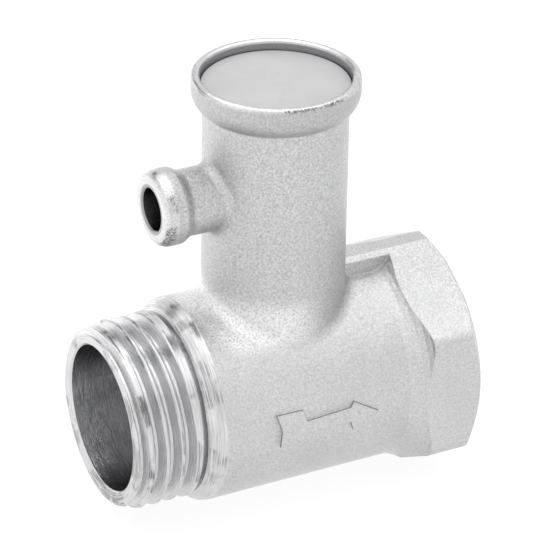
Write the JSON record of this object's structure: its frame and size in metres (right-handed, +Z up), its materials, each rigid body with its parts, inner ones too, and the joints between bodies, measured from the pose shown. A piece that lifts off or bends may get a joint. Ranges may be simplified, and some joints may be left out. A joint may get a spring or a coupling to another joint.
{
  "type": "pressure relief valve",
  "caption": "Tee-shaped water heater safety valve with a spring relief tower, drain nipple, check valve, pipe-threaded male end and hexagonal female end.",
  "frame": {"origin": "centre of the female mouth, on the run axis", "axes": "+X out of the female mouth along the run, +Z up along the relief tower, +Y to the back when the nipple points left"},
  "size_m": [0.0407, 0.0248, 0.0503],
  "materials": {
    "plated_casting": "satin nickel plate over sand-blasted brass",
    "cover_disc": "smooth pale grey",
    "brass": "turned",
    "zinc_steel": "zinc plated",
    "brass_poppet": "turned",
    "seal_rubber": "moulded",
    "spring_steel": "drawn wire",
    "white_plastic": "moulded acetal",
    "ring_rubber": "moulded",
    "spring_stainless": "drawn wire",
    "grey_plastic": "moulded",
    "clip_steel": "drawn wire"
  },
  "bodies": {
    "body": {"valve_body": "plated_casting", "cover_disc": "cover_disc", "check_guide": "grey_plastic", "check_clip": "clip_steel"},
    "relief_poppet": {"relief_holder": "brass_poppet", "relief_seal": "seal_rubber", "relief_spring": "spring_steel"},
    "spring_plate": {"upper_spring_plate": "zinc_steel"},
    "plug": {"adjusting_plug": "brass"},
    "check_poppet": {"check_poppet": "white_plastic", "check_seal": "ring_rubber", "check_spring": "spring_stainless"}
  },
  "joints": [
    {"name": "relief_lift", "type": "slide", "parent": "body", "child": "relief_poppet", "axis": [0, 0, 1], "range_m": [0, 0.001], "stiffness_N_per_m": 14000, "springref_m": -0.002, "deforming": ["relief_spring"]},
    {"name": "check_opening", "type": "slide", "parent": "body", "child": "check_poppet", "axis": [1, 0, 0], "range_m": [0, 0.003], "stiffness_N_per_m": 200, "springref_m": -0.002, "deforming": ["check_spring"]},
    {"name": "plate_slide", "type": "slide", "parent": "body", "child": "spring_plate", "axis": [0, 0, 1], "range_m": [-0.001, 0.00075], "deforming": ["relief_spring"]},
    {"name": "plug_turn", "type": "hinge", "parent": "spring_plate", "child": "plug", "pos_m": [-0.0198, 0, 0.0315], "axis": [0, 0, 1], "range_deg": [-361, 271]}
  ],
  "couplings": [
    {"joint": "plug_turn", "follows": "plate_slide", "rad_per_m": 6283.2}
  ]
}
